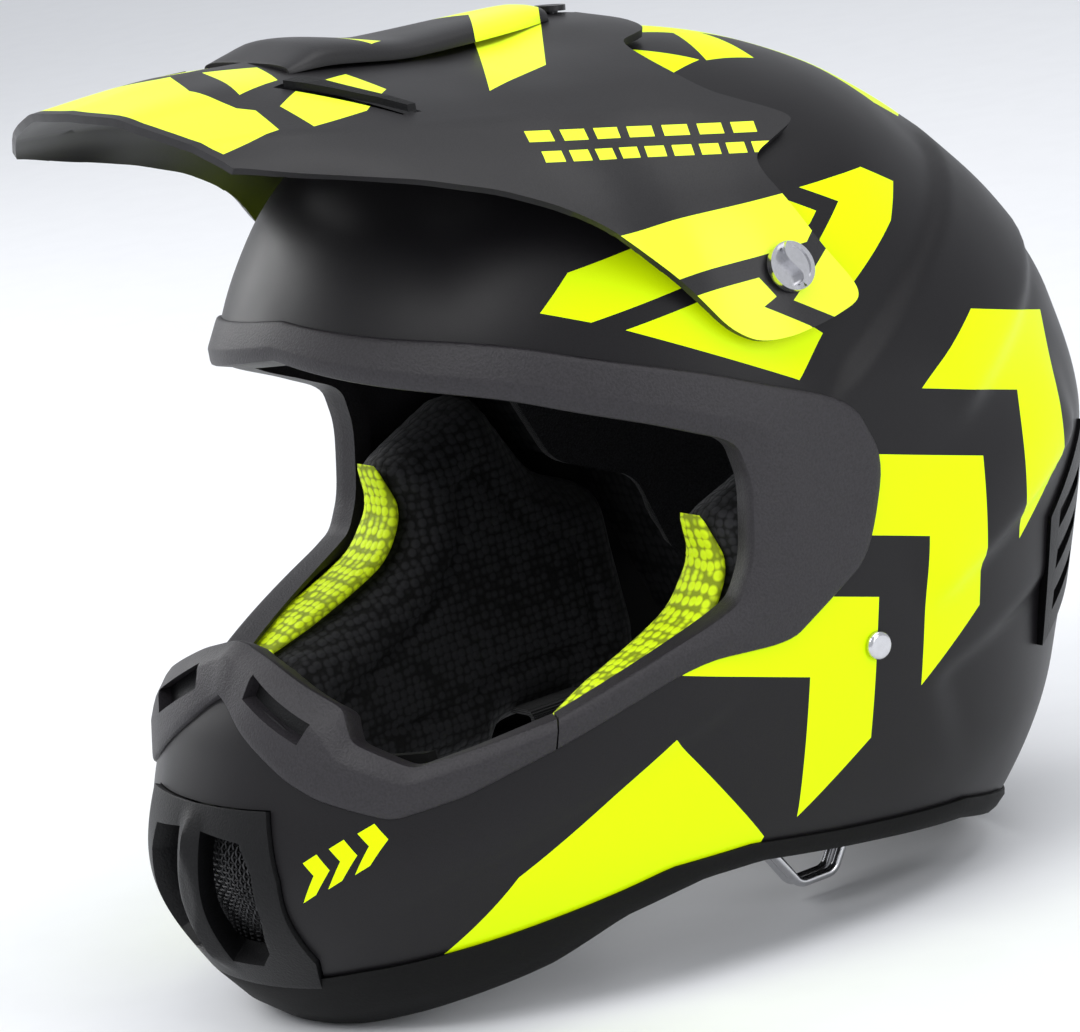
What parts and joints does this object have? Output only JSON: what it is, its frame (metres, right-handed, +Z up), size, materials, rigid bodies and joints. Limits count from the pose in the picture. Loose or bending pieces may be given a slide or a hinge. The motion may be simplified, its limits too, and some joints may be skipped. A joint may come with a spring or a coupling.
{
  "type": "motocross helmet",
  "caption": "Full-face off-road helmet with open eye port, tilting peak, chin-bar vent, padded liner and ring-buckle chin strap.",
  "frame": {"origin": "under the middle of the helmet, on the plane that its bottom edge rests on", "axes": "+Z up, the helmet faces -Y, +X is the wearer's left"},
  "size_m": [0.2528, 0.348, 0.303],
  "materials": {
    "shell_paint": "satin",
    "peak_plastic": "satin",
    "trim_plastic": "fine texture",
    "rubber": "matte",
    "screen_wire": "satin",
    "impact_foam": "beaded",
    "liner_fabric": "napped",
    "pad_mesh": "air mesh",
    "bright_mesh": "open mesh",
    "snap_plastic": "smooth",
    "plated_steel": "polished",
    "black_steel": "satin",
    "webbing": "woven"
  },
  "bodies": {
    "helmet": {"outer_shell": "shell_paint", "eyeport_trim": "trim_plastic", "nose_guard": "trim_plastic", "mouth_vent": "trim_plastic", "mouth_screen": "screen_wire", "breath_deflector": "rubber", "base_trim": "rubber", "rear_vent_left": "trim_plastic", "rear_vent_right": "trim_plastic", "crown_foam": "impact_foam", "chin_foam": "impact_foam", "comfort_liner": "liner_fabric", "neck_roll": "pad_mesh", "cheek_foam_left": "impact_foam", "cheek_foam_right": "impact_foam", "cheek_pad_left": "pad_mesh", "cheek_pad_right": "pad_mesh", "cheek_insert_left": "bright_mesh", "cheek_insert_right": "bright_mesh", "liner_snaps": "snap_plastic", "threaded_inserts": "plated_steel", "strap_rivets": "plated_steel", "strap_anchors": "plated_steel", "strap_left": "webbing", "strap_right": "webbing", "strap_snap": "snap_plastic"},
    "peak": {"peak": "peak_plastic", "peak_scoop": "peak_plastic", "peak_vent_bars": "trim_plastic"},
    "fastener_left": {"side_fastener_left": "plated_steel"},
    "fastener_right": {"side_fastener_right": "plated_steel"},
    "centre_screw": {"centre_screw": "black_steel"},
    "ring_inner": {"d_ring_inner": "plated_steel"},
    "ring_outer": {"d_ring_outer": "plated_steel"}
  },
  "joints": [
    {"name": "peak_tilt", "type": "hinge", "parent": "helmet", "child": "peak", "pos_m": [0, 0.005, 0.214], "axis": [1, 0, 0], "range_deg": [-3, 5]},
    {"name": "left_fastener_turn", "type": "hinge", "parent": "helmet", "child": "fastener_left", "pos_m": [0.1165, 0.005, 0.214], "axis": [0.9397, 0, 0.342], "continuous": true},
    {"name": "right_fastener_turn", "type": "hinge", "parent": "helmet", "child": "fastener_right", "pos_m": [-0.1165, 0.005, 0.214], "axis": [-0.9397, 0, 0.342], "continuous": true},
    {"name": "centre_screw_turn", "type": "hinge", "parent": "helmet", "child": "centre_screw", "pos_m": [0, 0.015, 0.29035], "axis": [0, 0.1299, 0.9915], "continuous": true},
    {"name": "inner_ring_swing", "type": "hinge", "parent": "helmet", "child": "ring_inner", "pos_m": [0.062, 0.016, 0.027], "axis": [0, 1, 0], "range_deg": [0, 45]},
    {"name": "outer_ring_swing", "type": "hinge", "parent": "helmet", "child": "ring_outer", "pos_m": [0.067, 0.016, 0.027], "axis": [0, 1, 0], "range_deg": [0, 45]}
  ],
  "couplings": [
    {"joint": "outer_ring_swing", "follows": "inner_ring_swing", "ratio": 1}
  ]
}
